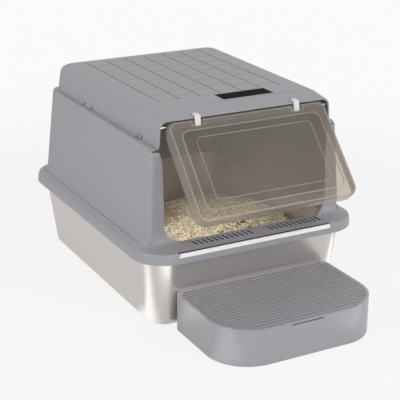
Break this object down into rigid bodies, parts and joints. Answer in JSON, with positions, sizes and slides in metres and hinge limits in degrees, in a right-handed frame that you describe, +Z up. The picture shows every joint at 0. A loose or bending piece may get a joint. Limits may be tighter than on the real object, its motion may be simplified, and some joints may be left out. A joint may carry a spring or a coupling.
{
  "type": "enclosed cat litter box",
  "caption": "Enclosed cat litter box: steel pan, grey surround and patterned lid, clear swinging front flap, and a separate ribbed step.",
  "frame": {"origin": "middle of the pan's flat base, on the floor", "axes": "+Z up, the entry and the step face -Y, +X to the right seen from the entry"},
  "size_m": [0.462, 0.7723, 0.4017],
  "materials": {
    "steel": "satin",
    "grey_plastic": "matte",
    "white_plastic": "gloss",
    "black_plate": "matte",
    "clear_plastic": "translucent",
    "rod_steel": "satin",
    "litter": "matte"
  },
  "bodies": {
    "pan": {"steel_pan": "steel", "litter_bed": "litter"},
    "surround_body": {"surround": "grey_plastic", "front_strip": "white_plastic"},
    "lid_body": {"lid": "grey_plastic", "bare_plate": "black_plate", "strap_left": "white_plastic", "strap_right": "white_plastic"},
    "flap_body": {"flap": "clear_plastic", "hinge_rod": "rod_steel"},
    "step_body": {"step_base": "grey_plastic"},
    "step_lid_body": {"step_lid": "grey_plastic"}
  },
  "joints": [
    {"name": "surround_lift", "type": "slide", "parent": "pan", "child": "surround_body", "axis": [0, 0, 1], "range_m": [0, 0.3]},
    {"name": "lid_lift", "type": "slide", "parent": "surround_body", "child": "lid_body", "axis": [0, 0, 1], "range_m": [0, 0.25]},
    {"name": "flap_hinge", "type": "hinge", "parent": "lid_body", "child": "flap_body", "pos_m": [0, -0.24, 0.38], "axis": [-1, 0, 0], "range_deg": [-107, 37.8]},
    {"name": "step_slide", "type": "slide", "parent": "pan", "child": "step_body", "axis": [0, -1, 0], "range_m": [0, 0.2]},
    {"name": "step_lid_hinge", "type": "hinge", "parent": "step_body", "child": "step_lid_body", "pos_m": [0.003, -0.27831, 0.0665], "axis": [-1, 0, 0], "range_deg": [0, 56]}
  ]
}
